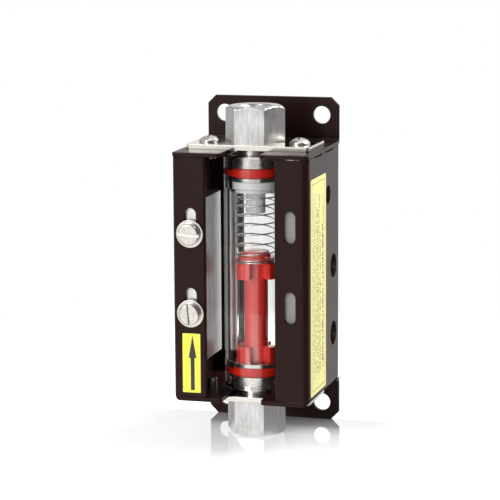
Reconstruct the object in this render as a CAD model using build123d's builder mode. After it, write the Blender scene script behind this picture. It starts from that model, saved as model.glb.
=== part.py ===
from build123d import *
from math import tan, radians
import os

os.makedirs("parts", exist_ok=True)

# Driving dimensions, in millimetres.
# The flow axis is X = 0, Y = 0 and points up. The front faces -Y. Z = 0 is the inlet port's end face.

# Folded steel housing
sheet = 1.5
fold_r = 2.5                # outside radius of every fold
box_width = 50.0
axis_to_front = 21.25
axis_to_back = 25.75
box_height = 89.8
front_flange = 12.3
rear_flange = 8.0
fold_clear = 0.004          # keeps the profile that rounds the lower folds off the walls
fold_relief = 0.25          # slit where a flange stands on the floor plate
seam_gap = 0.25             # gap under the top bracket along the front
side_slit_depth = 0.45
side_slit_length = 10.6
side_slit_from_front = (14.8, 30.9)     # front face to the middle of each gap in a side seam
edge_break = 0.35           # rounding of the painted sheet edges
flange_edge_r = 0.7

# Fixing ears
ear_rise = 16.0             # top ear above the top plate
ear_chamfer = 3.0
ear_hole = 6.5
ear_hole_from_side = 6.5
ear_hole_inset = 6.5        # from the ear's free edge

# Adjusting slots in both front flanges, cable holes and vent in both side walls
slot_width = 4.3
slot_length = 11.4
slot_from_side = 6.8
lower_slot_height = 50.8
slot_spacing = 28.8
cable_hole = 8.9
cable_hole_y = 16.0
lower_cable_hole_height = 35.0
cable_hole_spacing = 25.2
vent_hole = 6.9
vent_hole_y = 7.8
vent_hole_height = 87.5

# Turned hexagon fittings
hex_flats = 19.0
hex_height = 13.4
hex_turn_inlet = -1.0
hex_turn_outlet = 2.5
chamfer_circle = 18.0       # flat end face left by the hexagon's chamfer
chamfer_angle = 30.0
neck = 13.4
plug_gap = 0.08             # plug to counterbore, on the radius
plug_depth = 9.3            # from the tube's end
plug_setback = 0.45
port_minor = 11.45          # drilled wall of the quarter inch port
port_depth = 10.5
port_mouth = 13.6
port_mouth_depth = 0.45
passage = 9.2
drill_angle = 59.0
flow_recess = 13.2          # shallow recess in the plug's end that feeds the flow ports
flow_recess_depth = 0.6

# Retaining plates that lock the necks, and their screws
retaining_sheet = 1.8
retaining_inset = 2.3
retaining_front = 11.0
retaining_back = 12.0
retaining_corner = 1.2
neck_gap = 0.25             # neck to the retaining plate's slot, on the radius
notch_gap = 0.5             # neck to the housing's notch, on the radius
notch_corner = 1.6
screw_from_side = 8.2
screw_forward = 1.0
screw_shank = 4.0
screw_hole_gap = 0.05
screw_head = 7.6
screw_head_height = 2.3
screw_rim = 0.6
screw_reach = 6.2
cross_length = 4.0
cross_width = 0.9
cross_depth = 1.3

# Clear tube
tube_outer = 23.0
tube_bore = 15.0
counterbore = 17.0
tube_end_gap = 0.9          # tube to the housing plates at each end
tube_edge = 0.6
plug_end_gap = 0.4          # inlet plug to the end of its counterbore

# Seal rings in the plugs
ring_height = 3.5
ring_depth = 2.6
ring_corner = 0.9
ring_squeeze = 0.03         # how far a ring presses into the tube's wall
groove_gap = 0.05
ring_from_end = 6.2         # ring centre below the tube's end

# White stop with its stem, and the return spring
stop_flange = 2.6
stop_flange_gap = 0.1
stop_play = 0.1
stop_spigot = 1.4
stop_spigot_gap = 0.15
stem = 7.2
stem_length = 7.7
stem_flat = 2.6             # axis to the flat milled on the stem
stem_flat_angle = -30.0
stop_port = 2.5
stop_port_circle = 10.6
stop_port_count = 4
spring_wire = 0.5
spring_turns = 7
spring_wall_gap = 0.12
spring_seat_gap = 0.05
spring_phase = -60.0

# Red piston with its magnet
shaft = 8.84
guide_gap = 0.15            # guide lobes to the bore, on the radius
lobe_count = 4
lobe_angle = 38.0
lobe_turn = -20.0
upper_lobe = 5.8
lower_lobe = 6.0
piston_length = 40.6
piston_seat_gap = 0.1
collar_gap = 0.2            # collar to the inside of the spring, on the radius
collar_height = 2.1
boss_height = 1.9
boss_base = 11.2
boss_top = 9.4
magnet = 6.0
magnet_length = 20.0
magnet_edge = 0.3
magnet_gap = 0.05
magnet_plug_length = 2.0
magnet_plug_recess = 0.6

# Switch case behind the left flange
case_width = 9.7
case_depth = 22.7
case_height = 58.7
case_bottom = 30.0
case_gap = 0.05             # case to the flange's back face
case_wall_gap = 0.3
case_wall = 1.5
case_front_wall = 6.0
case_round = 2.4
case_cover = 1.0
cover_joint = 0.05
cover_inset = 0.4           # cover's edge behind the case's edge
cover_corner = 0.8
board_thick = 1.0
board_width = 11.0
board_length = 45.0
board_gap = 0.1
reed_length = 14.0
reed_outer = 2.2
reed_inner = 1.5
reed_end_wall = 1.6
reed_y = -5.0
lead = 0.5
lead_gap = 0.02
lead_length = 6.0
blade_width = 0.9
blade_thick = 0.2
blade_overlap = 1.6
blade_gap = 0.15
bush_hole = 5.2
bush_flange = 7.0
bush_bore = 3.0
bush_lip = 1.4
bush_gap = 0.05
bush_y = -6.0
cover_screw = 2.0
cover_screw_head = 3.6
cover_screw_head_height = 0.8
cover_screw_reach = 5.0
cover_screw_gap = 0.05
cover_boss = 4.6
cover_screw_inset = 1.9     # cavity's wall to a cover screw

# Clamp screws and washers
washer_outer = 10.0
washer_hole = 4.4
washer_thick = 0.9
clamp_shank = 3.9
clamp_thread_gap = 0.05
clamp_head = 7.8
clamp_head_height = 2.1
clamp_head_round = 0.7
clamp_length = 8.0
slot_cut_width = 1.0
slot_cut_depth = 0.9
clamp_play = 0.1            # screw to the slot's end when the case is at its lowest
upper_slot_angle = -5.0
lower_slot_angle = 95.0

# Blanking strip behind the right flange, and the two labels
strip_width = 9.0
strip_thick = 0.8
strip_inset = 0.6           # strip's edge behind the flange's edge
strip_margin = 6.0
label_thick = 0.15
rating_label_corner = 0.8
rating_label_width = 22.0
rating_label_from_front = 14.3
rating_label_margin = 2.8          # above the housing's bottom
rating_label_below_top = 9.0
arrow_label_width = 6.7
arrow_label_corner = 0.3
arrow_label_from_side = 6.9
arrow_label_margin = 3.2
arrow_label_gap = 2.35      # below the lower clamp washer

# Places that follow from the sizes
near = 0.01
wall_x = box_width / 2
front_window = box_width - 2 * front_flange
rear_window = box_width - 2 * rear_flange
ear_hole_spacing = box_width - 2 * ear_hole_from_side
slot_offset = wall_x - slot_from_side
screw_offset = wall_x - screw_from_side
retaining_width = box_width - 2 * retaining_inset
front_y = -axis_to_front
back_y = axis_to_back
box_depth = axis_to_front + axis_to_back
middle_y = (front_y + back_y) / 2
box_bottom = hex_height + retaining_sheet
box_top = box_bottom + box_height
floor_top = box_bottom + sheet
wall_top = box_top - sheet
fold_inner = fold_r - sheet
outlet_z = box_top + retaining_sheet + hex_height
ear_top = box_top + ear_rise
tube_bottom = floor_top + tube_end_gap
tube_top = wall_top - tube_end_gap
inlet_counterbore_depth = plug_depth + plug_end_gap
outlet_counterbore_depth = plug_depth + stop_flange + stop_play
bore_r = tube_bore / 2
counterbore_r = counterbore / 2
stop_seat = tube_top - outlet_counterbore_depth
spigot_end = stop_seat - stop_spigot
stem_end = spigot_end - stem_length
spring_r = bore_r - spring_wall_gap - spring_wire / 2
piston_bottom = tube_bottom + plug_depth + piston_seat_gap
piston_top = piston_bottom + piston_length
collar_bottom = piston_top - boss_height - collar_height
magnet_bottom = piston_bottom + magnet_plug_recess + magnet_plug_length
slot_heights = (lower_slot_height, lower_slot_height + slot_spacing)
case_left = -wall_x + sheet + case_wall_gap
case_front = front_y + sheet + case_gap
case_back = case_front + case_depth
case_middle_y = (case_front + case_back) / 2
case_middle_z = case_bottom + case_height / 2
case_right = case_left + case_width
clamp_drop = (slot_length - slot_width) / 2 - clamp_play
washer_front = front_y - washer_thick
rating_label_low = box_bottom + rating_label_margin
rating_label_high = box_top - rating_label_below_top
arrow_label_low = box_bottom + arrow_label_margin
arrow_label_high = lower_slot_height - clamp_drop - washer_outer / 2 - arrow_label_gap


def save(piece, name):
    """Label a finished piece and write it as its own file."""
    piece.label = name
    export_step(piece, f"parts/{name}.step")


def fold_profile(start_y, face_z, tip_z):
    """Side view of a plate folded into an ear at the back. face_z is on the fold's outside."""
    side = 1 if tip_z > face_z else -1
    bend_y = back_y - fold_r
    fold_z = face_z + side * fold_r
    inner_z = face_z + side * sheet
    with BuildLine() as outline:
        Polyline((bend_y, inner_z), (start_y, inner_z), (start_y, face_z), (bend_y, face_z))
        TangentArc((bend_y, face_z), (back_y, fold_z), tangent=(1, 0))
        Polyline((back_y, fold_z), (back_y, tip_z), (back_y - sheet, tip_z), (back_y - sheet, fold_z))
        TangentArc((back_y - sheet, fold_z), (bend_y, inner_z), tangent=(0, -side))
    return outline.line


def cut_ear_holes(tip_z, side):
    """Cut the two fixing holes of the ear whose free edge is at tip_z."""
    with BuildSketch(Plane.XZ.offset(-back_y)) as holes:
        with Locations((0, tip_z + side * ear_hole_inset)):
            with GridLocations(ear_hole_spacing, 1, 2, 1):
                Circle(ear_hole / 2)
    extrude(holes.sketch, amount=sheet, mode=Mode.SUBTRACT)


def cut_neck_notch(low_z):
    """Cut the round ended notch for a neck, open to the front, and the retaining screws' holes."""
    with BuildSketch(Plane.XY.offset(low_z)) as notch:
        Circle(neck / 2 + notch_gap)
        with Locations((0, front_y / 2)):
            Rectangle(neck + 2 * notch_gap, axis_to_front)
        with Locations((0, -screw_forward)):
            with GridLocations(2 * screw_offset, 1, 2, 1):
                Circle(screw_shank / 2 + screw_hole_gap)
    extrude(notch.sketch, amount=sheet, mode=Mode.SUBTRACT)


# Space inside the folded housing
with BuildPart() as housing_space:
    with BuildSketch(Plane.XY):
        with Locations((0, middle_y)):
            RectangleRounded(box_width - 2 * sheet, box_depth - 2 * sheet, fold_inner)
    extrude(amount=outlet_z)
    with BuildSketch(Plane.XZ.offset(-back_y - sheet)) as inner_front_view:
        with Locations((0, floor_top + box_height / 2)):
            Rectangle(box_width - 2 * sheet + fold_clear, box_height)
        fillet(inner_front_view.vertices().group_by(Axis.Y)[0], fold_inner)
    extrude(amount=box_depth + 2 * sheet, mode=Mode.INTERSECT)

# Housing: floor, two walls, flanges turned in at front and back, and the lower ear, from one sheet
with BuildPart() as body_shell:
    with BuildSketch(Plane.XY):
        with Locations((0, middle_y)):
            RectangleRounded(box_width, box_depth, fold_r)
    extrude(amount=wall_top)
    with BuildSketch(Plane.XZ.offset(-back_y - sheet)) as front_view:
        with Locations((0, box_bottom + box_height / 2)):
            Rectangle(box_width + fold_clear, box_height)
        fillet(front_view.vertices().group_by(Axis.Y)[0], fold_r)
    extrude(amount=box_depth + 2 * sheet, mode=Mode.INTERSECT)
    add(housing_space.part, mode=Mode.SUBTRACT)
    # windows between the flanges, front and back
    for window, outer_face in ((front_window, axis_to_front), (rear_window, sheet - axis_to_back)):
        with BuildSketch(Plane.XZ.offset(outer_face)):
            with Locations((0, floor_top + box_height / 2)):
                Rectangle(window, box_height)
        extrude(amount=-sheet, mode=Mode.SUBTRACT)
    # slits that part the front flanges from the floor
    with BuildSketch(Plane.XZ.offset(axis_to_front)):
        with Locations((0, floor_top + fold_relief / 2)):
            Rectangle(box_width - 2 * fold_r, fold_relief)
    extrude(amount=-sheet, mode=Mode.SUBTRACT)
    # gap under the top bracket at the front, and the gaps left in each side seam
    with BuildSketch(Plane.YZ.offset(-wall_x)):
        with Locations((front_y + fold_r / 2, wall_top - seam_gap / 2)):
            Rectangle(fold_r, seam_gap)
        for slit_middle in side_slit_from_front:
            with Locations((front_y + slit_middle, wall_top - side_slit_depth / 2)):
                Rectangle(side_slit_length, side_slit_depth)
    extrude(amount=box_width, mode=Mode.SUBTRACT)
    # lower ear, folded down from the back of the floor
    with BuildSketch(Plane.YZ.offset(-wall_x)):
        with Locations((back_y - fold_r / 2, box_bottom + (sheet + fold_relief) / 2)):
            Rectangle(fold_r, sheet + fold_relief)
    extrude(amount=box_width, mode=Mode.SUBTRACT)
    with BuildSketch(Plane.YZ.offset(-wall_x)):
        add(fold_profile(back_y - fold_r - sheet, floor_top, 0))
        make_face()
    extrude(amount=box_width)
    chamfer(body_shell.edges().filter_by(Axis.Y).group_by(Axis.Z)[0], ear_chamfer)
    cut_ear_holes(0, 1)
    cut_neck_notch(box_bottom)
    # adjusting slots in the front flanges
    with BuildSketch(Plane.XZ.offset(axis_to_front)):
        for slot_z in slot_heights:
            with Locations((-slot_offset, slot_z), (slot_offset, slot_z)):
                SlotOverall(slot_length, slot_width, rotation=90)
    extrude(amount=-sheet, mode=Mode.SUBTRACT)
    # cable holes and vent through both side walls
    with BuildSketch(Plane.YZ.offset(-wall_x)):
        with Locations((cable_hole_y, lower_cable_hole_height)):
            Circle(cable_hole / 2)
        with Locations((cable_hole_y, lower_cable_hole_height + cable_hole_spacing)):
            Circle(cable_hole / 2)
        with Locations((vent_hole_y, vent_hole_height)):
            Circle(vent_hole / 2)
    extrude(amount=box_width, mode=Mode.SUBTRACT)
    # rounded edges at the front: window edges, notch corners and flange tops
    uprights = body_shell.edges().filter_by(Axis.Z).filter_by_position(Axis.Y, front_y - near, front_y + near)
    fillet(uprights.filter_by(lambda edge: abs(abs(edge.center().X) - front_window / 2) < near), flange_edge_r)
    uprights = body_shell.edges().filter_by(Axis.Z).filter_by_position(Axis.Y, front_y - near, front_y + near)
    fillet(uprights.filter_by(lambda edge: abs(edge.center().X) < neck / 2 + notch_gap + near), notch_corner)
save(body_shell.part, "body_shell")

# Top bracket: top plate with its notch, folded up at the back into the upper ear
with BuildPart() as top_bracket:
    with BuildSketch(Plane.YZ.offset(-wall_x)):
        add(fold_profile(front_y, wall_top, ear_top))
        make_face()
    extrude(amount=box_width)
    chamfer(top_bracket.edges().filter_by(Axis.Y).group_by(Axis.Z)[-1], ear_chamfer)
    cut_ear_holes(ear_top, -1)
    cut_neck_notch(wall_top)
    corners = top_bracket.edges().filter_by(Axis.Z).filter_by_position(Axis.Y, front_y - near, front_y + near)
    fillet(corners, notch_corner)
    front_face = top_bracket.faces().sort_by(Axis.Y)[0]
    fillet(front_face.edges().filter_by(Axis.X), edge_break)
save(top_bracket.part, "top_bracket")


def retaining_plate(low_z, name):
    """Flat stainless plate whose slot, open to the back, closes round a neck."""
    with BuildPart() as plate:
        with BuildSketch(Plane.XY.offset(low_z)) as outline:
            with Locations((0, (retaining_back - retaining_front) / 2)):
                RectangleRounded(retaining_width, retaining_front + retaining_back, retaining_corner)
            Circle(neck / 2 + neck_gap, mode=Mode.SUBTRACT)
            with Locations((0, retaining_back / 2)):
                Rectangle(neck + 2 * neck_gap, retaining_back, mode=Mode.SUBTRACT)
            with Locations((0, -screw_forward)):
                with GridLocations(2 * screw_offset, 1, 2, 1):
                    Circle(screw_shank / 2 + screw_hole_gap, mode=Mode.SUBTRACT)
        extrude(amount=retaining_sheet)
    save(plate.part, name)


retaining_plate(box_top, "upper_retaining_plate")
retaining_plate(hex_height, "lower_retaining_plate")


def retaining_screws(seat_z, side, name):
    """Pair of cross recessed pan head screws. side is 1 where the heads stand above seat_z, else -1."""
    crown_z = seat_z + side * screw_head_height
    rim_z = seat_z + side * screw_rim
    with BuildPart() as screws:
        for screw_x in (-screw_offset, screw_offset):
            rim_x = screw_x + screw_head / 2
            with BuildSketch(Plane.XZ.offset(screw_forward)):
                with BuildLine():
                    Polyline((screw_x, crown_z), (screw_x, seat_z), (rim_x, seat_z), (rim_x, rim_z))
                    TangentArc((screw_x, crown_z), (rim_x, rim_z), tangent=(1, 0))
                make_face()
            revolve(axis=Axis((screw_x, -screw_forward, 0), (0, 0, 1)))
        with BuildSketch(Plane.XY.offset(seat_z)):
            with Locations((0, -screw_forward)):
                with GridLocations(2 * screw_offset, 1, 2, 1):
                    Circle(screw_shank / 2)
        extrude(amount=-side * screw_reach)
        with BuildSketch(Plane.XY.offset(crown_z)):
            with Locations((0, -screw_forward)):
                with GridLocations(2 * screw_offset, 1, 2, 1):
                    Rectangle(cross_length, cross_width)
                    Rectangle(cross_width, cross_length)
        extrude(amount=-side * cross_depth, mode=Mode.SUBTRACT)
    save(screws.part, name)


retaining_screws(box_top + retaining_sheet, 1, "upper_retaining_screws")
retaining_screws(hex_height, -1, "lower_retaining_screws")


def fitting(mouth_z, side, hex_turn, name):
    """Hexagon port, neck and plug turned from one bar. side is 1 where the plug lies above the mouth."""
    rise = (hex_flats - chamfer_circle / 2) * tan(radians(chamfer_angle))
    tube_end = hex_height + retaining_sheet + sheet + tube_end_gap
    neck_end = tube_end + plug_setback
    plug_end = tube_end + plug_depth
    plug_r = counterbore_r - plug_gap
    groove_r = counterbore_r + ring_squeeze - ring_depth - groove_gap
    groove_low = tube_end + ring_from_end - ring_height / 2 - groove_gap
    groove_high = tube_end + ring_from_end + ring_height / 2 + groove_gap
    cone_end = port_depth + (port_minor - passage) / 2 / tan(radians(drill_angle))
    recess_z = plug_end - flow_recess_depth
    port_r = port_minor / 2
    recess_r = flow_recess / 2
    chamfered = ((0, 0), (chamfer_circle / 2, 0), (hex_flats, rise), (hex_flats, hex_height), (0, hex_height))
    spindle = ((0, hex_height / 2), (neck / 2, hex_height / 2), (neck / 2, neck_end), (plug_r, neck_end),
               (plug_r, groove_low), (groove_r, groove_low), (groove_r, groove_high),
               (plug_r, groove_high), (plug_r, plug_end), (0, plug_end))
    drilled = ((0, 0), (port_mouth / 2, 0), (port_r, port_mouth_depth), (port_r, port_depth),
               (passage / 2, cone_end), (passage / 2, recess_z), (recess_r, recess_z),
               (recess_r, plug_end), (0, plug_end))
    with BuildPart() as turned:
        with BuildSketch(Plane.XY.offset(mouth_z)):
            RegularPolygon(hex_flats / 2, 6, major_radius=False, rotation=hex_turn)
        extrude(amount=side * hex_height)
        for profile, mode in ((chamfered, Mode.INTERSECT), (spindle, Mode.ADD), (drilled, Mode.SUBTRACT)):
            with BuildSketch(Plane.XZ):
                with BuildLine():
                    Polyline([(radius, mouth_z + side * height) for radius, height in profile], close=True)
                make_face()
            revolve(axis=Axis.Z, mode=mode)
    save(turned.part, name)


fitting(0, 1, hex_turn_inlet, "inlet_fitting")
fitting(outlet_z, -1, hex_turn_outlet, "outlet_fitting")

# Clear tube with a counterbore at each end
with BuildPart() as sight_tube:
    with BuildSketch(Plane.XY.offset(tube_bottom)):
        Circle(tube_outer / 2)
    extrude(amount=tube_top - tube_bottom)
    chamfer(sight_tube.edges().filter_by(GeomType.CIRCLE), tube_edge)
    with BuildSketch(Plane.XY.offset(tube_bottom)):
        Circle(bore_r)
    extrude(amount=tube_top - tube_bottom, mode=Mode.SUBTRACT)
    for end_z, end_depth in ((tube_bottom, inlet_counterbore_depth), (tube_top, -outlet_counterbore_depth)):
        with BuildSketch(Plane.XY.offset(end_z)):
            Circle(counterbore_r)
        extrude(amount=end_depth, mode=Mode.SUBTRACT)
save(sight_tube.part, "sight_tube")


def seal_ring(centre_z, name):
    """Silicone ring, flattened where it presses on the tube."""
    with BuildPart() as ring:
        with BuildSketch(Plane.XZ):
            with Locations((counterbore_r + ring_squeeze - ring_depth / 2, centre_z)):
                RectangleRounded(ring_depth, ring_height, ring_corner)
        revolve(axis=Axis.Z)
    save(ring.part, name)


seal_ring(tube_top - ring_from_end, "upper_o_ring")
seal_ring(tube_bottom + ring_from_end, "lower_o_ring")

# White stop: flange in the counterbore, spigot in the bore, and a stem that ends the piston's stroke
with BuildPart() as spring_stop:
    for low_z, height, radius in (
        (stop_seat, stop_flange, counterbore_r - stop_flange_gap),
        (spigot_end, stop_spigot, bore_r - stop_spigot_gap),
        (stem_end, stem_length, stem / 2),
    ):
        with BuildSketch(Plane.XY.offset(low_z)):
            Circle(radius)
        extrude(amount=height)
    with BuildSketch(Plane.XY.offset(stem_end).rotated((0, 0, stem_flat_angle))):
        with Locations((0, -stem_flat - stem / 2)):
            Rectangle(stem, stem)
    extrude(amount=stem_length, mode=Mode.SUBTRACT)
    with BuildSketch(Plane.XY.offset(spigot_end)):
        with PolarLocations(stop_port_circle / 2, stop_port_count):
            Circle(stop_port / 2)
    extrude(amount=stop_spigot + stop_flange, mode=Mode.SUBTRACT)
save(spring_stop.part, "spring_stop")

# Return spring between the stop and the shoulder under the piston's collar
spring_low = collar_bottom + spring_seat_gap + spring_wire / 2
spring_high = spigot_end - spring_seat_gap - spring_wire / 2
spring_rise = spring_high - spring_low
with BuildPart() as return_spring:
    with BuildLine(Plane.XY.offset(spring_low).rotated((0, 0, spring_phase))):
        coil = Helix(pitch=spring_rise / spring_turns, height=spring_rise, radius=spring_r)
    with BuildSketch(Plane(origin=coil @ 0, z_dir=coil % 0)):
        Circle(spring_wire / 2)
    sweep(path=coil, is_frenet=True)
save(return_spring.part, "return_spring")

# Piston: two rows of guide lobes on a shaft, a collar that centres the spring, a boss, and the magnet's bore
lobe_reach = tube_bore
lobe_half_width = lobe_reach * tan(radians(lobe_angle / 2))
collar_r = spring_r - spring_wire / 2 - collar_gap
magnet_pocket = magnet_plug_recess + magnet_plug_length + magnet_length + magnet_gap
with BuildPart() as flow_piston:
    for low_z, height in ((piston_bottom, lower_lobe), (collar_bottom - upper_lobe, upper_lobe)):
        with BuildSketch(Plane.XY.offset(low_z)):
            for lobe_index in range(lobe_count):
                with BuildLine(Plane.XY.rotated((0, 0, lobe_turn + lobe_index * 360 / lobe_count))):
                    tip = (lobe_reach, -lobe_half_width)
                    Polyline((0, 0), tip, (lobe_reach, lobe_half_width), close=True)
                make_face()
            Circle(bore_r - guide_gap, mode=Mode.INTERSECT)
        extrude(amount=height)
    with BuildSketch(Plane.XY.offset(piston_bottom)):
        Circle(shaft / 2)
    extrude(amount=collar_bottom - piston_bottom)
    with BuildSketch(Plane.XY.offset(collar_bottom)):
        Circle(collar_r)
    extrude(amount=collar_height)
    with BuildSketch(Plane.XY.offset(piston_top - boss_height)):
        Circle(boss_base / 2)
    with BuildSketch(Plane.XY.offset(piston_top)):
        Circle(boss_top / 2)
    loft()
    with BuildSketch(Plane.XY.offset(piston_bottom)):
        Circle(magnet / 2 + magnet_gap)
    extrude(amount=magnet_pocket, mode=Mode.SUBTRACT)
save(flow_piston.part, "flow_piston")

# Bar magnet in the piston
with BuildPart() as piston_magnet:
    with BuildSketch(Plane.XY.offset(magnet_bottom)):
        Circle(magnet / 2)
    extrude(amount=magnet_length)
    chamfer(piston_magnet.edges().filter_by(GeomType.CIRCLE), magnet_edge)
save(piston_magnet.part, "piston_magnet")

# Plug that seals the magnet in
with BuildPart() as magnet_plug:
    with BuildSketch(Plane.XY.offset(piston_bottom + magnet_plug_recess)):
        Circle(magnet / 2)
    extrude(amount=magnet_plug_length)
save(magnet_plug.part, "magnet_plug")

# Switch case: milled block with a cavity open to the left wall, closed by a cover
cavity_front = case_front + case_front_wall
cavity_back = case_back - case_wall
cavity_y = (cavity_front + cavity_back) / 2
cavity_right = case_right - case_wall
cover_right = case_left + case_cover
case_body_left = cover_right + cover_joint
screw_front_y = case_front + case_front_wall / 2
screw_back_y = cavity_back - cover_screw_inset
screw_spread_y = screw_back_y - screw_front_y
screw_spread_z = case_height - 2 * (case_wall + cover_screw_inset)
cover_screw_grid = ((screw_front_y + screw_back_y) / 2, case_middle_z)
bush_x = (case_body_left + cavity_right) / 2
with BuildPart() as switch_case:
    with BuildSketch(Plane.XY.offset(case_bottom)) as case_plan:
        with Locations(((case_body_left + case_right) / 2, case_middle_y)):
            Rectangle(case_right - case_body_left, case_depth)
        fillet(case_plan.vertices().group_by(Axis.X)[-1], case_round)
        fillet(case_plan.vertices().group_by(Axis.X)[0], cover_inset)
    extrude(amount=case_height)
    with BuildSketch(Plane.YZ.offset(case_body_left)):
        with Locations((cavity_y, case_middle_z)):
            Rectangle(cavity_back - cavity_front, case_height - 2 * case_wall)
        with Locations(cover_screw_grid):
            with GridLocations(screw_spread_y, screw_spread_z, 2, 2):
                Circle(cover_boss / 2, mode=Mode.SUBTRACT)
    extrude(amount=cavity_right - case_body_left, mode=Mode.SUBTRACT)
    with BuildSketch(Plane.YZ.offset(case_body_left)):
        with Locations(cover_screw_grid):
            with GridLocations(screw_spread_y, screw_spread_z, 2, 2):
                Circle(cover_screw / 2 + cover_screw_gap)
    extrude(amount=cover_screw_reach, mode=Mode.SUBTRACT)
    with BuildSketch(Plane.XZ.offset(-case_front)):
        for slot_z in slot_heights:
            with Locations((-slot_offset, slot_z - clamp_drop)):
                Circle(clamp_shank / 2 + clamp_thread_gap)
    extrude(amount=-case_front_wall, mode=Mode.SUBTRACT)
    with BuildSketch(Plane.XY.offset(case_bottom)):
        with Locations((bush_x, bush_y)):
            Circle(bush_hole / 2 + bush_gap)
    extrude(amount=case_wall, mode=Mode.SUBTRACT)
save(switch_case.part, "switch_case")

# Cover of the switch case, countersunk for its screws
with BuildPart() as switch_case_cover:
    with BuildSketch(Plane.YZ.offset(case_left)):
        with Locations((case_middle_y, case_middle_z)):
            RectangleRounded(case_depth - 2 * cover_inset, case_height - 2 * cover_inset, cover_corner)
        with Locations(cover_screw_grid):
            with GridLocations(screw_spread_y, screw_spread_z, 2, 2):
                Circle(cover_screw / 2 + cover_screw_gap, mode=Mode.SUBTRACT)
    extrude(amount=case_cover)
    for row_z in (case_middle_z - screw_spread_z / 2, case_middle_z + screw_spread_z / 2):
        for row_y in (screw_front_y, screw_back_y):
            with BuildSketch(Plane.YZ.offset(case_left)):
                with Locations((row_y, row_z)):
                    Circle(cover_screw_head / 2 + cover_screw_gap)
            with BuildSketch(Plane.YZ.offset(case_left + cover_screw_head_height)):
                with Locations((row_y, row_z)):
                    Circle(cover_screw / 2 + cover_screw_gap)
            loft(mode=Mode.SUBTRACT)
save(switch_case_cover.part, "switch_case_cover")

# Four countersunk screws that hold the cover
with BuildPart() as case_cover_screws:
    for row_z in (case_middle_z - screw_spread_z / 2, case_middle_z + screw_spread_z / 2):
        for row_y in (screw_front_y, screw_back_y):
            with BuildSketch(Plane.YZ.offset(case_left)):
                with Locations((row_y, row_z)):
                    Circle(cover_screw_head / 2)
            with BuildSketch(Plane.YZ.offset(case_left + cover_screw_head_height)):
                with Locations((row_y, row_z)):
                    Circle(cover_screw / 2)
            loft()
            with BuildSketch(Plane.YZ.offset(case_left + cover_screw_head_height)):
                with Locations((row_y, row_z)):
                    Circle(cover_screw / 2)
            extrude(amount=cover_screw_reach - cover_screw_head_height)
save(case_cover_screws.part, "case_cover_screws")

# Carrier board that holds the reed against the wall beside the tube
board_right = cavity_right - board_gap
reed_height = case_middle_z
with BuildPart() as reed_carrier:
    with BuildSketch(Plane.YZ.offset(board_right)):
        with Locations((reed_y, reed_height)):
            Rectangle(board_width, board_length)
    extrude(amount=-board_thick)
save(reed_carrier.part, "reed_carrier")

# Reed switch: glass capsule, with two leads whose flat blades overlap inside it
reed_x = board_right - board_thick - reed_outer / 2 - board_gap
reed_low = reed_height - reed_length / 2
with BuildPart() as reed_glass:
    with BuildSketch(Plane.XY.offset(reed_low)):
        with Locations((reed_x, reed_y)):
            Circle(reed_outer / 2)
    extrude(amount=reed_length)
    fillet(reed_glass.edges().filter_by(GeomType.CIRCLE), reed_outer / 4)
    with BuildSketch(Plane.XY.offset(reed_low + reed_end_wall)):
        with Locations((reed_x, reed_y)):
            Circle(reed_inner / 2)
    extrude(amount=reed_length - 2 * reed_end_wall, mode=Mode.SUBTRACT)
    with BuildSketch(Plane.XY.offset(reed_low)):
        with Locations((reed_x, reed_y)):
            Circle(lead / 2 + lead_gap)
    extrude(amount=reed_length, mode=Mode.SUBTRACT)
save(reed_glass.part, "reed_glass")

with BuildPart() as reed_blades:
    for side in (-1, 1):
        root_z = reed_height + side * (reed_length / 2 - reed_end_wall)
        tip_z = reed_height - side * blade_overlap / 2
        end_z = reed_height + side * (reed_length / 2 + lead_length)
        blade_x = reed_x + side * (blade_gap + blade_thick) / 2
        with BuildSketch(Plane.XY.offset(root_z)):
            with Locations((reed_x, reed_y)):
                Circle(lead / 2)
        extrude(amount=end_z - root_z)
        with BuildSketch(Plane.XY.offset(tip_z)):
            with Locations((blade_x, reed_y)):
                Rectangle(blade_thick, blade_width)
        extrude(amount=root_z - tip_z)
save(reed_blades.part, "reed_blades")

# Rubber bush at the cable's entry
with BuildPart() as cable_bush:
    for low_z, height, radius in (
        (case_bottom - bush_lip, bush_lip, bush_flange / 2),
        (case_bottom, case_wall, bush_hole / 2),
        (case_bottom + case_wall, bush_lip / 2, bush_hole / 2 + bush_lip / 2),
    ):
        with BuildSketch(Plane.XY.offset(low_z)):
            with Locations((bush_x, bush_y)):
                Circle(radius)
        extrude(amount=height)
    with BuildSketch(Plane.XY.offset(case_bottom - bush_lip)):
        with Locations((bush_x, bush_y)):
            Circle(bush_bore / 2)
    extrude(amount=2 * bush_lip + case_wall, mode=Mode.SUBTRACT)
save(cable_bush.part, "cable_bush")


def clamp_set(slot_z, slot_angle, place):
    """Slotted clamp screw with its washer, at the lower end of a slot when the case is down."""
    clamp_z = slot_z - clamp_drop
    with BuildPart() as washer:
        with BuildSketch(Plane.XZ.offset(axis_to_front)):
            with Locations((-slot_offset, clamp_z)):
                Circle(washer_outer / 2)
                Circle(washer_hole / 2, mode=Mode.SUBTRACT)
        extrude(amount=washer_thick)
    save(washer.part, f"{place}_clamp_washer")
    with BuildPart() as screw:
        with BuildSketch(Plane.XZ.offset(-washer_front)):
            with Locations((-slot_offset, clamp_z)):
                Circle(clamp_head / 2)
        extrude(amount=clamp_head_height)
        fillet(screw.edges().filter_by(GeomType.CIRCLE).sort_by(Axis.Y)[0], clamp_head_round)
        with BuildSketch(Plane.XZ.offset(clamp_head_height - washer_front)):
            with Locations((-slot_offset, clamp_z)):
                Rectangle(2 * clamp_head, slot_cut_width, rotation=slot_angle)
        extrude(amount=-slot_cut_depth, mode=Mode.SUBTRACT)
        with BuildSketch(Plane.XZ.offset(-washer_front)):
            with Locations((-slot_offset, clamp_z)):
                Circle(clamp_shank / 2)
        extrude(amount=-clamp_length)
    save(screw.part, f"{place}_clamp_screw")


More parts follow.
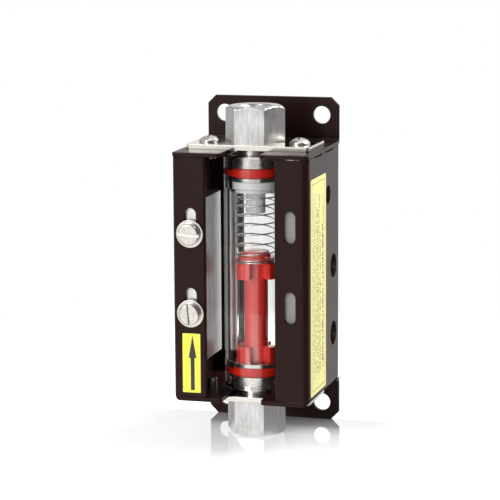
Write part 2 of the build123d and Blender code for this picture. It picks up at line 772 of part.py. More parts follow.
clamp_set(slot_heights[0], lower_slot_angle, "lower")
clamp_set(slot_heights[1], upper_slot_angle, "upper")

# Strip stuck behind the right flange to blank its slots
strip_length = slot_spacing + slot_length + 2 * strip_margin
with BuildPart() as slot_blanking_strip:
    with BuildSketch(Plane.XZ.offset(axis_to_front - sheet)):
        with Locations((front_window / 2 + strip_inset + strip_width / 2, lower_slot_height + slot_spacing / 2)):
            Rectangle(strip_width, strip_length)
    extrude(amount=-strip_thick)
save(slot_blanking_strip.part, "slot_blanking_strip")

# Labels: one on the right wall, one with the flow direction on the left flange
with BuildPart() as rating_label:
    with BuildSketch(Plane.YZ.offset(wall_x)):
        with Locations((front_y + rating_label_from_front, (rating_label_low + rating_label_high) / 2)):
            RectangleRounded(rating_label_width, rating_label_high - rating_label_low, rating_label_corner)
    extrude(amount=label_thick)
save(rating_label.part, "rating_label")

with BuildPart() as flow_arrow_label:
    with BuildSketch(Plane.XZ.offset(axis_to_front)):
        with Locations((arrow_label_from_side - wall_x, (arrow_label_low + arrow_label_high) / 2)):
            RectangleRounded(arrow_label_width, arrow_label_high - arrow_label_low, arrow_label_corner)
    extrude(amount=label_thick)
save(flow_arrow_label.part, "flow_arrow_label")
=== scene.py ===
import random
from math import cos, pi, radians, sin

import bmesh
import bpy
from mathutils import Matrix, Vector


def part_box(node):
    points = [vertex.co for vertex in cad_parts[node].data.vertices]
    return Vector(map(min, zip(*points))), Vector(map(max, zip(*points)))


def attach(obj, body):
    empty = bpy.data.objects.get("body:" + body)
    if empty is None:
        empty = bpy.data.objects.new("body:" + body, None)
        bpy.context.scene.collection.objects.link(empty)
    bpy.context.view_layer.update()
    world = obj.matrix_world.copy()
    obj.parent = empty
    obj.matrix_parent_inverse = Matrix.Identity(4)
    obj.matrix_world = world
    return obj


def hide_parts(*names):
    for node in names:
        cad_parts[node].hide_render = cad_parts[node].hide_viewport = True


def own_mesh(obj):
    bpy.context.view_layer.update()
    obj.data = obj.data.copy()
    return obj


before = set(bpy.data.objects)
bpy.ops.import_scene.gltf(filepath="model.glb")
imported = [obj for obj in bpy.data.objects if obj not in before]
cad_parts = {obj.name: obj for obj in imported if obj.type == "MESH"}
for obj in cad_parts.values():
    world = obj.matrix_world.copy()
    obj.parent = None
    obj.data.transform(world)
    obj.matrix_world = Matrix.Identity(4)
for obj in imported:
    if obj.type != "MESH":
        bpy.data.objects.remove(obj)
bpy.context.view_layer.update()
scene = bpy.context.scene
MM = 0.001

# Camera: a long lens on a stand, a little above the part and to its right.
# Its angles and distance were found by matching the housing's edges, ears and ports.
camera_azimuth = radians(15.931)
camera_elevation = radians(9.701)
camera_roll = radians(-0.321)
camera_distance = 803.97 * MM
camera_target = Vector((-2.206, 0, 67.403)) * MM
sensor_width = 36.0
focal_length = 159.69
nearest_seen = 10 * MM

view_line = Vector((
    -sin(camera_azimuth) * cos(camera_elevation),
    cos(camera_azimuth) * cos(camera_elevation),
    -sin(camera_elevation),
))
level_right = Vector((cos(camera_azimuth), sin(camera_azimuth), 0))
level_up = level_right.cross(view_line)
camera_right = level_right * cos(camera_roll) + level_up * sin(camera_roll)
camera_up = level_up * cos(camera_roll) - level_right * sin(camera_roll)
camera_data = bpy.data.cameras.new("studio_camera")
camera_data.sensor_width = sensor_width
camera_data.lens = focal_length
camera_data.clip_start = nearest_seen
camera = bpy.data.objects.new("studio_camera", camera_data)
camera.matrix_world = Matrix.Translation(camera_target - view_line * camera_distance) @ Matrix(
    (camera_right, camera_up, -view_line)
).transposed().to_4x4()
scene.collection.objects.link(camera)
scene.camera = camera
scene.view_settings.view_transform = "Standard"

# Room: white for the camera, also straight through the tube. All else sees a studio with a narrow and a
# wide bright screen at the front left, a white backdrop behind the part, and greyer walls to the sides.
# Angles run from +X towards +Y.
room_strength = 1.30
room_in_tube_wall = 0.28
tube_crossed = 3.5          # a look straight through the tube enters or leaves its wall four times
room_walls = (
    (-180, 0.42), (-163, 0.34), (-156, 0.98), (-146, 0.98), (-139, 0.30), (-130, 0.30), (-121, 0.94),
    (-99, 0.94), (-91, 0.28), (-70, 0.14), (-20, 0.14), (5, 0.25), (28, 0.27), (55, 0.74), (86, 0.76),
    (95, 0.70), (117, 0.70), (123, 0.47), (152, 0.46), (180, 0.42),
)


def fitted(tree, kind, values=None, **settings):
    """Add a shader node to a tree, with its settings and the values of its sockets."""
    node = tree.nodes.new("ShaderNode" + kind)
    for setting, value in settings.items():
        setattr(node, setting, value)
    for socket, value in (values or {}).items():
        node.inputs[socket].default_value = value
    return node


def wired(tree, *pairs):
    """Join pairs of an output and an input."""
    for output, socket in pairs:
        tree.links.new(output, socket)


def ramped(tree, source, stops):
    """Grey that follows a value through a row of (place, grey) stops."""
    ramp = fitted(tree, "ValToRGB")
    greys = ramp.color_ramp.elements
    greys[0].position, greys[-1].position = stops[0][0], stops[-1][0]
    for index, (place, grey) in enumerate(stops):
        stop = greys[index] if index in (0, len(stops) - 1) else greys.new(place)
        stop.color = (grey, grey, grey, 1)
    wired(tree, (source, ramp.inputs[0]))
    return ramp.outputs[0]


def ramped_round(tree, direction, walls):
    """Grey that follows a vector's compass angle through a row of (angle, grey) walls."""
    compass = fitted(tree, "TexGradient", gradient_type="RADIAL")
    wired(tree, (direction, compass.inputs[0]))
    return ramped(tree, compass.outputs["Fac"], [((angle + 180) / 360, grey) for angle, grey in walls])


def told_apart(tree, strength, strength_in_tube_wall):
    """Whether a ray looks as the camera does, also straight through the tube, and the strength that
    all other rays see, which is lower in the tube's wall."""
    rays = fitted(tree, "LightPath")
    straight_through = fitted(tree, "Math", {1: tube_crossed}, operation="GREATER_THAN")
    looks = fitted(tree, "Math", operation="MAXIMUM")
    lowered = {1: strength_in_tube_wall - strength, 2: strength}
    dimmed = fitted(tree, "Math", lowered, operation="MULTIPLY_ADD")
    wired(
        tree,
        (rays.outputs["Is Camera Ray"], looks.inputs[0]),
        (rays.outputs["Transmission Depth"], straight_through.inputs[0]),
        (straight_through.outputs[0], looks.inputs[1]),
        (rays.outputs["Is Transmission Ray"], dimmed.inputs[0]),
    )
    return looks.outputs[0], dimmed.outputs[0]


world = bpy.data.worlds.new("studio_room")
scene.world = world
world.use_nodes = True
room = world.node_tree
room.nodes.clear()
room_out = fitted(room, "OutputWorld")
seen_white = fitted(room, "Background", {"Color": (1, 1, 1, 1)})
lit_room = fitted(room, "Background")
room_pick = fitted(room, "MixShader")
room_direction = fitted(room, "TexCoord").outputs["Generated"]
room_looks, room_level = told_apart(room, room_strength, room_in_tube_wall)
wired(
    room,
    (ramped_round(room, room_direction, room_walls), lit_room.inputs["Color"]),
    (room_level, lit_room.inputs["Strength"]),
    (room_looks, room_pick.inputs[0]),
    (lit_room.outputs[0], room_pick.inputs[1]),
    (seen_white.outputs[0], room_pick.inputs[2]),
    (room_pick.outputs[0], room_out.inputs["Surface"]),
)


# Lamps: a tall soft box at the front left, one at the right and one overhead.
# Each is aimed at the middle of the part.
def soft_box(name, place, width, height, power):
    """Hang a soft box of a width and height in metres."""
    lamp = bpy.data.lights.new(name, "AREA")
    lamp.shape = "RECTANGLE"
    lamp.size = width
    lamp.size_y = height
    lamp.energy = power
    stand = bpy.data.objects.new(name, lamp)
    stand.location = place
    stand.rotation_euler = (camera_target - Vector(place)).to_track_quat("-Z", "Y").to_euler()
    scene.collection.objects.link(stand)


soft_box("left_soft_box", (-0.45, -0.95, 0.45), 0.35, 0.7, 4.6)
soft_box("right_soft_box", (0.70, 0.45, 0.85), 0.7, 0.8, 16.0)
soft_box("top_soft_box", (0.1, -0.1, 1.0), 0.6, 0.5, 0.8)

# Table: a disc of glossy white board under the part, which keeps its shadow and a faint reflection.
# The reflection is strong where the part stands and fades to the front.
# The rim fades into the room's white.
board_radius = 0.24
board_white_from = 0.15
board_drop = 0.02 * MM
board_turns = 96
board_grey = 0.55
board_glow = 0.62
gloss_grey = 0.96
gloss_roughness = 0.05
reflection_full = 0.045
reflection_ends = 0.085
reflection_from = -0.08
reflection_to = 0.04
reflection = (
    (-0.075, 0.0), (-0.045, 0.13), (-0.02, 0.28), (0.0, 0.42), (0.008, 0.60), (0.014, 0.80), (0.025, 0.90),
    (0.028, 0.0),
)
board_glow_round = 1.38
board_in_tube_wall = 0.30
board_compass_back = 0.015
board_greys = (
    (-180, 0.44), (-146, 0.40), (-131, 0.96), (-68, 0.96), (-54, 0.36), (-25, 0.30), (0, 0.33), (28, 0.33),
    (55, 0.70), (88, 0.74), (117, 0.74), (126, 0.47), (180, 0.44),
)

board_mesh = bpy.data.meshes.new("table_board")
board_points = []
for turn in range(board_turns):
    angle = 2 * pi * turn / board_turns
    board_points.append((board_radius * cos(angle), board_radius * sin(angle), -board_drop))
board_mesh.from_pydata(board_points, [], [tuple(range(board_turns))])
table_board = bpy.data.objects.new("table_board", board_mesh)
scene.collection.objects.link(table_board)
board_finish = bpy.data.materials.new("glossy_white_board")
board_finish.use_nodes = True
board = board_finish.node_tree
board.nodes.clear()
board_out = fitted(board, "OutputMaterial")
board_matt = fitted(board, "BsdfDiffuse", {"Color": (board_grey, board_grey, board_grey, 1)})
board_light = fitted(board, "Emission", {"Strength": board_glow})
board_sum = fitted(board, "AddShader")
board_gloss = fitted(board, "BsdfGlossy", {
    "Color": (gloss_grey, gloss_grey, gloss_grey, 1), "Roughness": gloss_roughness,
})
board_place = fitted(board, "TexCoord").outputs["Object"]
board_axes = fitted(board, "SeparateXYZ")
board_depth = fitted(board, "MapRange", {"From Min": reflection_from, "From Max": reflection_to})
board_reach = fitted(board, "VectorMath", operation="LENGTH")
board_near = fitted(board, "MapRange", {"From Min": reflection_ends, "From Max": reflection_full})
board_share = fitted(board, "Math", operation="MULTIPLY")
board_mix = fitted(board, "MixShader")
board_rim = fitted(board, "MapRange", {"From Min": board_white_from, "From Max": board_radius})
board_white = fitted(board, "Emission")
board_edge = fitted(board, "MixShader")
board_compass = fitted(board, "Mapping", {"Location": (0, -board_compass_back, 0)})
board_plain = fitted(board, "Emission")
board_pick = fitted(board, "MixShader")
board_looks, board_level = told_apart(board, board_glow_round, board_in_tube_wall)
reflection_stops = [
    ((depth - reflection_from) / (reflection_to - reflection_from), share) for depth, share in reflection
]
wired(
    board,
    (board_place, board_axes.inputs[0]),
    (board_axes.outputs["Y"], board_depth.inputs["Value"]),
    (ramped(board, board_depth.outputs[0], reflection_stops), board_share.inputs[0]),
    (board_place, board_reach.inputs[0]),
    (board_reach.outputs["Value"], board_near.inputs["Value"]),
    (board_near.outputs[0], board_share.inputs[1]),
    (board_matt.outputs[0], board_sum.inputs[0]),
    (board_light.outputs[0], board_sum.inputs[1]),
    (board_share.outputs[0], board_mix.inputs[0]),
    (board_sum.outputs[0], board_mix.inputs[1]),
    (board_gloss.outputs[0], board_mix.inputs[2]),
    (board_reach.outputs["Value"], board_rim.inputs["Value"]),
    (board_rim.outputs[0], board_edge.inputs[0]),
    (board_mix.outputs[0], board_edge.inputs[1]),
    (board_white.outputs[0], board_edge.inputs[2]),
    (board_place, board_compass.inputs["Vector"]),
    (ramped_round(board, board_compass.outputs[0], board_greys), board_plain.inputs["Color"]),
    (board_level, board_plain.inputs["Strength"]),
    (board_looks, board_pick.inputs[0]),
    (board_plain.outputs[0], board_pick.inputs[1]),
    (board_edge.outputs[0], board_pick.inputs[2]),
    (board_pick.outputs[0], board_out.inputs["Surface"]),
)
board_mesh.materials.append(board_finish)


# Housing shell and top bracket: two pieces of 1.5 mm steel sheet, punched, folded and stove enamelled
# dark brown. The enamel rounds every edge and has a fine orange peel.
noise_low = 0.3
noise_high = 0.7
broad_share = 0.35
same_point = 0.001 * MM
flat_within = radians(0.5)


def finish(name, dark, light, rough, grain, blotch, metal=0.0, peel=0.0, arris=0.0, **sockets):
    """Material whose colour and roughness wander between two values. grain is the size of a
    grain in mm along X, Y and Z, blotch the size of the broad variation, peel the bump's height in mm,
    and arris the radius in mm that light sees on sharp edges."""
    material = bpy.data.materials.new(name)
    material.use_nodes = True
    tree = material.node_tree
    shader = tree.nodes["Principled BSDF"]
    shader.inputs["Metallic"].default_value = metal
    for socket, value in sockets.items():
        shader.inputs[socket.replace("_", " ")].default_value = value
    place = fitted(tree, "TexCoord").outputs["Object"]
    size = fitted(tree, "Mapping", {"Scale": [1 / (step * MM) for step in grain]})
    fine = fitted(tree, "TexNoise", {"Scale": 1.0, "Detail": 3.0})
    broad = fitted(tree, "TexNoise", {"Scale": 1 / (blotch * MM), "Detail": 2.0})
    both = fitted(tree, "Mix", {"Factor": broad_share})
    tint = fitted(tree, "ValToRGB")
    for stop, level, colour in zip(tint.color_ramp.elements, (noise_low, noise_high), (dark, light)):
        stop.position = level
        stop.color = (*colour, 1)
    sheen = fitted(tree, "MapRange", {
        "From Min": noise_low, "From Max": noise_high, "To Min": rough[0], "To Max": rough[1],
    })
    wired(
        tree,
        (place, size.inputs["Vector"]),
        (size.outputs[0], fine.inputs["Vector"]),
        (place, broad.inputs["Vector"]),
        (fine.outputs["Fac"], both.inputs["A"]),
        (broad.outputs["Fac"], both.inputs["B"]),
        (both.outputs["Result"], tint.inputs[0]),
        (tint.outputs[0], shader.inputs["Base Color"]),
        (both.outputs["Result"], sheen.inputs["Value"]),
        (sheen.outputs[0], shader.inputs["Roughness"]),
    )
    if arris:
        broken = fitted(tree, "Bevel", {"Radius": arris * MM})
        wired(tree, (broken.outputs[0], shader.inputs["Normal"]))
    if peel:
        relief = fitted(tree, "Bump", {"Distance": peel * MM})
        wired(tree, (fine.outputs["Fac"], relief.inputs["Height"]))
        if arris:
            wired(tree, (broken.outputs[0], relief.inputs["Normal"]))
        wired(tree, (relief.outputs[0], shader.inputs["Normal"]))
    return material


def put(name, mesh, material, body, slot, *replaced):
    """Add a mesh as a piece of the object."""
    piece = bpy.data.objects.new(name, mesh)
    scene.collection.objects.link(piece)
    mesh.materials.clear()
    mesh.materials.append(material)
    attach(piece, body)
    if replaced:
        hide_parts(*replaced)
    return piece


def rounded(piece, edge, steps=3, turn=35):
    """Round a piece's edges to edge mm where its faces turn by more than an angle."""
    rounding = piece.modifiers.new("rounded_edges", "BEVEL")
    rounding.width = edge * MM
    rounding.segments = steps
    rounding.limit_method = "ANGLE"
    rounding.angle_limit = radians(turn)
    rounding.harden_normals = True


def dressed(name, material, body, slot, edge, turn=40):
    """Copy of a frame node with its flat faces joined and its edges rounded to edge mm, or left sharp."""
    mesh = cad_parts[name].data.copy()
    shape = bmesh.new()
    shape.from_mesh(mesh)
    bmesh.ops.remove_doubles(shape, verts=shape.verts, dist=same_point)
    bmesh.ops.dissolve_limit(
        shape, angle_limit=flat_within, verts=shape.verts, edges=shape.edges, use_dissolve_boundaries=False
    )
    shape.to_mesh(mesh)
    shape.free()
    mesh.polygons.foreach_set("use_smooth", [True] * len(mesh.polygons))
    piece = put(name + "_dressed", mesh, material, body, slot, name)
    if edge:
        rounded(piece, edge, turn=turn)
    else:
        mesh.set_sharp_from_angle(angle=radians(turn))
    flattening = piece.modifiers.new("flat_faces", "WEIGHTED_NORMAL")
    flattening.keep_sharp = True
    return piece


enamel = finish(
    "brown_enamel", (0.017, 0.0055, 0.0048), (0.023, 0.0080, 0.0068), (0.30, 0.38), (0.35, 0.35, 0.35),
    peel=0.006, blotch=18, Specular_IOR_Level=0.12,
)
dressed("body_shell", enamel, "root", "housing_paint", 0.18)
dressed("top_bracket", enamel, "root", "housing_paint", 0.22)

# The enamel also runs into the fine slits under the rear flanges and closes them.
slit_web = (7.2, 0.42, 0.72)
web_across = 20.65
web_back = 24.49
web_height = 16.61
for place, across in (("left", -web_across), ("right", web_across)):
    web_mesh = bpy.data.meshes.new(place + "_enamel_web")
    web_shape = bmesh.new()
    bmesh.ops.create_cube(web_shape, size=MM)
    bmesh.ops.scale(web_shape, vec=slit_web, verts=web_shape.verts)
    web_middle = Vector((across, web_back, web_height)) * MM
    bmesh.ops.translate(web_shape, vec=web_middle, verts=web_shape.verts)
    web_shape.to_mesh(web_mesh)
    web_shape.free()
    put(place + "_enamel_web", web_mesh, enamel, "root", "housing_paint")

# Retaining plates: bright stainless sheet cut on a shear, slid round the necks from the back.
# Two screws hold each of them, to the bracket above and to the floor below.
stainless = finish(
    "bright_stainless", (0.55, 0.52, 0.48), (0.74, 0.71, 0.66), (0.07, 0.15), (6, 0.12, 0.12),
    metal=1.0, peel=0.002, blotch=8,
)
dressed("upper_retaining_plate", stainless, "root", "stainless_sheet", 0.12)
dressed("lower_retaining_plate", stainless, "root", "stainless_sheet", 0.12)

# Retaining screws: pan heads with a cross recess, bright plated, two above and two below.
# They clamp the retaining plates to the bracket and the floor.
plating = finish(
    "bright_plating", (0.54, 0.51, 0.47), (0.72, 0.69, 0.64), (0.14, 0.26), (1.2, 1.2, 1.2),
    metal=1.0, peel=0.003, blotch=2.5,
)
dressed("upper_retaining_screws", plating, "root", "screw_plating", 0.12)
dressed("lower_retaining_screws", plating, "root", "screw_plating", 0.12)

# Fittings: hexagon, neck and plug of one stainless bar. The hexagon's flats keep an upright grain,
# and the neck and plug are turned smooth. The port's thread is cut inside the hexagon.
outlet_turned = (80, 104.9)
inlet_turned = (15.3, 40)
bar_steel = finish(
    "milled_bar", (0.35, 0.345, 0.335), (0.70, 0.69, 0.68), (0.24, 0.36), (0.16, 0.16, 5.0),
    metal=1.0, peel=0.003, blotch=6, arris=0.12,
)
turned_steel = finish(
    "turned_bar", (0.48, 0.46, 0.43), (0.66, 0.64, 0.60), (0.22, 0.30), (3.0, 3.0, 0.10),
    metal=1.0, peel=0.001, blotch=6, arris=0.12,
)
for name, (turned_from, turned_to) in (("outlet_fitting", outlet_turned), ("inlet_fitting", inlet_turned)):
    fitting = dressed(name, bar_steel, "root", "turned_steel", 0, turn=22)
    fitting.data.materials.append(turned_steel)
    for face in fitting.data.polygons:
        if turned_from < face.center.z / MM < turned_to:
            face.material_index = 1


def lathe(name, outline, turns=128):
    """Mesh turned about the tube's axis from a closed outline of (radius, height) points in mm."""
    mesh = bpy.data.meshes.new(name)
    count = len(outline)
    points = []
    faces = []
    for turn in range(turns):
        angle = 2 * pi * turn / turns
        following = (turn + 1) % turns
        for step, (radius, height) in enumerate(outline):
            points.append((radius * cos(angle) * MM, radius * sin(angle) * MM, height * MM))
            after = (step + 1) % count
            faces.append((
                turn * count + step, following * count + step,
                following * count + after, turn * count + after,
            ))
    mesh.from_pydata(points, [], faces)
    shape = bmesh.new()
    shape.from_mesh(mesh)
    bmesh.ops.remove_doubles(shape, verts=shape.verts, dist=same_point / 2)
    bmesh.ops.recalc_face_normals(shape, faces=shape.faces)
    shape.to_mesh(mesh)
    shape.free()
    mesh.polygons.foreach_set("use_smooth", [True] * len(mesh.polygons))
    mesh.set_sharp_from_angle(angle=radians(30))
    return mesh


thread_pitch = 1.337
thread_outer = 5.72
thread_inner = 5.25
thread_turns = 6
thread_sunk = 0.1           # depth to which the thread's back lies in the steel
thread_inset = 0.6
inlet_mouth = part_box("inlet_fitting")[0].z / MM
outlet_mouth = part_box("outlet_fitting")[1].z / MM
for place, mouth, side in (("inlet", inlet_mouth, 1), ("outlet", outlet_mouth, -1)):
    start = mouth + side * thread_inset
    ridge = [(thread_outer + thread_sunk, start), (thread_outer, start)]
    for crest in range(thread_turns):
        ridge.append((thread_inner, start + side * thread_pitch * (crest + 0.5)))
        ridge.append((thread_outer, start + side * thread_pitch * (crest + 1)))
    ridge.append((thread_outer + thread_sunk, start + side * thread_pitch * thread_turns))
    put(place + "_port_thread", lathe(place + "_port_thread", ridge), bar_steel, "root", "turned_steel")

# Sight tube: clear acrylic, bored and counterbored at both ends, with polished faces.
# The seal rings press into its wall, so that no air lies between them and the acrylic.
tube_low, tube_high = (corner.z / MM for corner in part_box("sight_tube"))
tube_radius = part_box("sight_tube")[1].x / MM
tube_bore = 7.5
tube_counterbore = 8.5
tube_edge = 0.6
tube_rounding = 0.08
lower_step = tube_low + 9.7
upper_step = tube_high - 12.0
haze_size = 9
haze_roughness = 0.012

acrylic = bpy.data.materials.new("clear_acrylic")
acrylic.use_nodes = True
glass = acrylic.node_tree
clear = glass.nodes["Principled BSDF"]
clear.inputs["Transmission Weight"].default_value = 1.0
clear.inputs["IOR"].default_value = 1.49
haze = fitted(glass, "TexNoise", {"Scale": 1 / (haze_size * MM)})
haze_tint = fitted(glass, "ValToRGB")
haze_tint.color_ramp.elements[0].color = (0.965, 0.972, 0.970, 1)
haze_tint.color_ramp.elements[1].color = (0.985, 0.990, 0.988, 1)
haze_rough = fitted(glass, "MapRange", {"To Min": 0.0, "To Max": haze_roughness})
tube_rays = fitted(glass, "LightPath")
lets_lamp = fitted(glass, "Math", operation="MAXIMUM")
open_way = fitted(glass, "BsdfTransparent")
tube_mix = fitted(glass, "MixShader")
wired(
    glass,
    (fitted(glass, "TexCoord").outputs["Object"], haze.inputs["Vector"]),
    (haze.outputs["Fac"], haze_tint.inputs[0]),
    (haze_tint.outputs[0], clear.inputs["Base Color"]),
    (haze.outputs["Fac"], haze_rough.inputs["Value"]),
    (haze_rough.outputs[0], clear.inputs["Roughness"]),
    (tube_rays.outputs["Is Shadow Ray"], lets_lamp.inputs[0]),
    (tube_rays.outputs["Is Diffuse Ray"], lets_lamp.inputs[1]),
    (lets_lamp.outputs[0], tube_mix.inputs[0]),
    (clear.outputs[0], tube_mix.inputs[1]),
    (open_way.outputs[0], tube_mix.inputs[2]),
    (tube_mix.outputs[0], glass.nodes["Material Output"].inputs["Surface"]),
)

tube_outline = [
    (tube_counterbore, tube_low), (tube_radius - tube_edge, tube_low), (tube_radius, tube_low + tube_edge),
    (tube_radius, tube_high - tube_edge), (tube_radius - tube_edge, tube_high), (tube_counterbore, tube_high),
    (tube_counterbore, upper_step), (tube_bore, upper_step), (tube_bore, lower_step),
    (tube_counterbore, lower_step),
]
tube_mesh = lathe("sight_tube_glass", tube_outline, turns=256)
tube = put("sight_tube_glass", tube_mesh, acrylic, "root", "clear_acrylic", "sight_tube")
rounded(tube, tube_rounding, steps=2)

# Seal rings: red silicone, moulded, one in each plug's groove.
# Where they press on the acrylic they are flattened.
ring_outer = 8.53
ring_inner = 5.93
ring_round = 0.9
silicone = finish(
    "red_silicone", (0.62, 0.014, 0.004), (0.72, 0.018, 0.006), (0.34, 0.44), (0.3, 0.3, 0.3),
    peel=0.004, blotch=5,
)
for name in ("upper_o_ring", "lower_o_ring"):
    ring_low, ring_high = (corner.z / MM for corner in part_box(name))
    ring_outline = [
        (ring_inner, ring_low), (ring_outer, ring_low), (ring_outer, ring_high), (ring_inner, ring_high),
    ]
    ring_mesh = lathe(name + "_moulded", ring_outline, turns=192)
    ring = put(name + "_moulded", ring_mesh, silicone, "root", "red_silicone", name)
    rounded(ring, ring_round, steps=5)

# Stop: milky white acetal, turned, with flow ports round a stem that ends the piston's stroke.
# It lets a little light through.
acetal = finish(
    "milky_acetal", (0.90, 0.90, 0.89), (0.95, 0.95, 0.94), (0.30, 0.40), (0.5, 0.5, 0.5),
    peel=0.003, blotch=4, Transmission_Weight=0.2, IOR=1.48,
)
dressed("spring_stop", acetal, "root", "white_acetal", 0.15)

# Return spring: stainless wire wound to the right, closer at its top and round the piston's collar.
# It sits between the stop and the piston, which presses it shorter as it rises; here it is drawn at one
# length.
wire_radius = 0.25
coil_radius = 7.13
coil_levels = [63.90, 64.4, 66.3, 69.8, 73.4, 77.1, 80.5, 84.0, 86.9, 88.9]
coil_start = radians(-165)
coil_steps = 72
wire_sides = 12

wire_steel = finish(
    "spring_wire", (0.42, 0.41, 0.39), (0.62, 0.60, 0.57), (0.20, 0.34), (0.1, 0.1, 0.1),
    metal=1.0, peel=0.002, blotch=1.5,
)
spring_mesh = bpy.data.meshes.new("return_spring_wire")
coil_points = []
for step in range(coil_steps * (len(coil_levels) - 1) + 1):
    turn = step / coil_steps
    low_index = min(int(turn), len(coil_levels) - 2)
    share = turn - low_index
    height = coil_levels[low_index] * (1 - share) + coil_levels[low_index + 1] * share
    angle = coil_start + 2 * pi * turn
    for side in range(wire_sides):
        around = 2 * pi * side / wire_sides
        radius = coil_radius + wire_radius * cos(around)
        coil_points.append((
            radius * cos(angle) * MM, radius * sin(angle) * MM, (height + wire_radius * sin(around)) * MM,
        ))
coil_rings = len(coil_points) // wire_sides
last_ring = (coil_rings - 1) * wire_sides
coil_faces = [tuple(range(wire_sides))[::-1], tuple(range(last_ring, last_ring + wire_sides))]
for ring_index in range(coil_rings - 1):
    for side in range(wire_sides):
        after = (side + 1) % wire_sides
        base = ring_index * wire_sides
        coil_faces.append((base + side, base + after, base + wire_sides + after, base + wire_sides + side))
spring_mesh.from_pydata(coil_points, [], coil_faces)
spring_mesh.polygons.foreach_set("use_smooth", [True] * len(spring_mesh.polygons))
spring = put("return_spring_wire", spring_mesh, wire_steel, "root", "spring_wire", "return_spring")
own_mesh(spring)

# Piston: glossy red moulding with two rows of guide lobes; the magnet is sealed into it from below.
# It rests on the inlet's plug and is lifted by the flow.
red_moulding = finish(
    "glossy_red_moulding", (0.76, 0.030, 0.016), (0.84, 0.038, 0.022), (0.20, 0.28), (2.5, 2.5, 2.5),
    peel=0.003, blotch=8, Coat_Weight=1.0, Coat_Roughness=0.10, Coat_IOR=1.8,
)
magnet_alloy = finish(
    "magnet_alloy", (0.16, 0.16, 0.17), (0.26, 0.26, 0.27), (0.45, 0.6), (0.3, 0.3, 0.3),
    metal=1.0, peel=0.01, blotch=3,
)
dressed("flow_piston", red_moulding, "piston", "red_plastic", 0.25)
dressed("magnet_plug", red_moulding, "piston", "red_plastic", 0.15)
dressed("piston_magnet", magnet_alloy, "piston", "magnet_alloy", 0.15)

# Switch case: a block of aluminium brushed from end to end, milled hollow and closed by a cover.
# It slides along the slots of the left flange.
brushed = finish(
    "brushed_aluminium", (0.30, 0.30, 0.30), (0.80, 0.80, 0.79), (0.28, 0.42), (0.16, 0.16, 14.0),
    metal=1.0, peel=0.004, blotch=10,
)
dressed("switch_case", brushed, "switch", "case_aluminium", 0.25)
dressed("switch_case_cover", brushed, "switch", "case_aluminium", 0.15)
dressed("case_cover_screws", plating, "switch", "screw_plating", 0.05)

# Reed switch: two plated blades sealed in pale green glass, on a lacquered carrier board.
# Its cable leaves through a rubber bush at the case's lower end.
reed_clear = finish(
    "pale_green_glass", (0.70, 0.86, 0.76), (0.76, 0.90, 0.80), (0.02, 0.05), (1, 1, 1),
    blotch=3, Transmission_Weight=0.9, IOR=1.5,
)
blade_plating = finish(
    "blade_plating", (0.50, 0.47, 0.40), (0.66, 0.63, 0.56), (0.25, 0.35), (0.2, 0.2, 0.2),
    metal=1.0, blotch=1,
)
lacquer = finish(
    "green_lacquer", (0.010, 0.060, 0.022), (0.016, 0.085, 0.032), (0.30, 0.45), (0.2, 0.2, 0.2),
    peel=0.003, blotch=5,
)
bush_rubber = finish(
    "black_rubber", (0.010, 0.010, 0.010), (0.020, 0.020, 0.020), (0.55, 0.75), (0.2, 0.2, 0.2),
    peel=0.01, blotch=3,
)
dressed("reed_glass", reed_clear, "switch", "reed_glass", 0.1)
dressed("reed_blades", blade_plating, "switch", "reed_alloy", 0.03)
dressed("reed_carrier", lacquer, "switch", "carrier_board", 0.05)
dressed("cable_bush", bush_rubber, "switch", "bush_rubber", 0.2)

# Clamp screws and washers: slotted heads on plain washers, nickel plated and a little scuffed.
# They thread into the switch case through the flange's slots.
for place in ("upper", "lower"):
    dressed(place + "_clamp_washer", plating, "switch", "screw_plating", 0.2)
    dressed(place + "_clamp_screw", plating, place + "_clamp", "screw_plating", 0.1)

# Blanking strip: matt grey plastic strip, cut from flat stock.
# It is stuck behind the right flange, where it closes the two slots.
grey_strip = finish(
    "matt_grey_strip", (0.27, 0.26, 0.25), (0.33, 0.32, 0.30), (0.55, 0.7), (0.3, 0.3, 0.3),
    peel=0.006, blotch=12,
)
dressed("slot_blanking_strip", grey_strip, "root", "blanking_grey", 0.1)

# Labels: printed film, stuck on. The arrow on the left flange shows the flow, and the one on the right
# wall has only a border and rows of plain bars.
arrow_film = finish(
    "bright_yellow_film", (0.86, 0.84, 0.07), (0.92, 0.90, 0.10), (0.30, 0.40), (0.3, 0.3, 0.3),
    peel=0.002, blotch=9,
)
cream_film = finish(
    "pale_yellow_film", (0.92, 0.84, 0.28), (0.96, 0.90, 0.33), (0.30, 0.42), (0.3, 0.3, 0.3),
    peel=0.002, blotch=9,
)
ink = finish(
    "dark_ink", (0.016, 0.015, 0.014), (0.030, 0.028, 0.026), (0.45, 0.55), (0.1, 0.1, 0.1), blotch=2,
)
dressed("flow_arrow_label", arrow_film, "root", "arrow_yellow", 0.04)
dressed("rating_label", cream_film, "root", "label_cream", 0.04)
ink_rise = 0.02
arrow_middle = -17.70
arrow_tip = 39.3
arrow_head_base = 31.1
arrow_head_half = 1.43
arrow_shaft_half = 0.72
arrow_foot = 19.3
arrow_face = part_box("flow_arrow_label")[0].y / MM - ink_rise

print_mesh = bpy.data.meshes.new("flow_arrow_print")
arrow_points = [
    (0, arrow_tip), (-arrow_head_half, arrow_head_base), (-arrow_shaft_half, arrow_head_base),
    (-arrow_shaft_half, arrow_foot), (arrow_shaft_half, arrow_foot), (arrow_shaft_half, arrow_head_base),
    (arrow_head_half, arrow_head_base),
]
print_mesh.from_pydata(
    [((arrow_middle + across) * MM, arrow_face * MM, height * MM) for across, height in arrow_points],
    [], [tuple(range(len(arrow_points)))],
)
put("flow_arrow_print", print_mesh, ink, "root", "arrow_yellow")

label_low, label_high = (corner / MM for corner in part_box("rating_label"))
label_face = label_high.x + ink_rise
bars = []


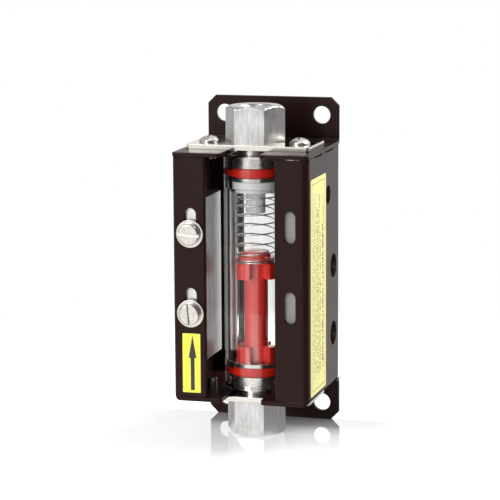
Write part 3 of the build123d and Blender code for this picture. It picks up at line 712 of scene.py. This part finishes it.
def bar(from_y, from_z, to_y, to_z):
    """One printed bar on the right wall's label, between two corners in mm."""
    bars.append((from_y, from_z, to_y, to_z))


border = 1.7
rule = 0.16
inner_y = (label_low.y + border, label_high.y - border)
inner_z = (label_low.z + border, label_high.z - border)
bar(inner_y[0], inner_z[0], inner_y[0] + rule, inner_z[1])
bar(inner_y[1] - rule, inner_z[0], inner_y[1], inner_z[1])
bar(inner_y[0], inner_z[0], inner_y[1], inner_z[0] + rule)
bar(inner_y[0], inner_z[1] - rule, inner_y[1], inner_z[1])
dice = random.Random(7)
row_places = [1.6, 2.9, 4.2, 5.6, 7.6, 9.4, 10.6, 11.8, 14.2, 15.4, 16.6]
row_widths = [0.40, 0.40, 0.40, 0.62, 0.95, 0.40, 0.40, 0.62, 1.15, 0.40, 0.40]
row_margin = 2.5
row_gaps = (0.30, 0.30, 0.36, 0.42, 1.1)
stroke_least = 0.18
stroke_share = 0.12
foot_width = 0.12
for across, width in zip(row_places, row_widths):
    row_y = inner_y[0] + across
    along = inner_z[0] + row_margin + dice.uniform(0, 5)
    row_end = inner_z[1] - row_margin - dice.uniform(0, 16)
    while along < row_end:
        length = width * dice.uniform(0.45, 0.80)
        for stroke in range(dice.choice((1, 2, 2, 3))):
            stroke_z = along + stroke * length * 0.5
            stroke_end = min(stroke_z + stroke_least + stroke_share * width, row_end)
            bar(row_y + width * dice.choice((0, 0, 0.3)), stroke_z, row_y + width, stroke_end)
        bar(row_y + width * dice.choice((0.0, 0.42, 0.84)), along, row_y + width * 0.99, along + foot_width)
        along += length + dice.choice(row_gaps) * (0.5 + width)
rows_mesh = bpy.data.meshes.new("rating_label_print")
row_points = []
row_faces = []
for from_y, from_z, to_y, to_z in bars:
    base = len(row_points)
    for point_y, point_z in ((from_y, from_z), (to_y, from_z), (to_y, to_z), (from_y, to_z)):
        row_points.append((label_face * MM, point_y * MM, point_z * MM))
    row_faces.append((base, base + 1, base + 2, base + 3))
rows_mesh.from_pydata(row_points, [], row_faces)
put("rating_label_print", rows_mesh, ink, "root", "label_cream")
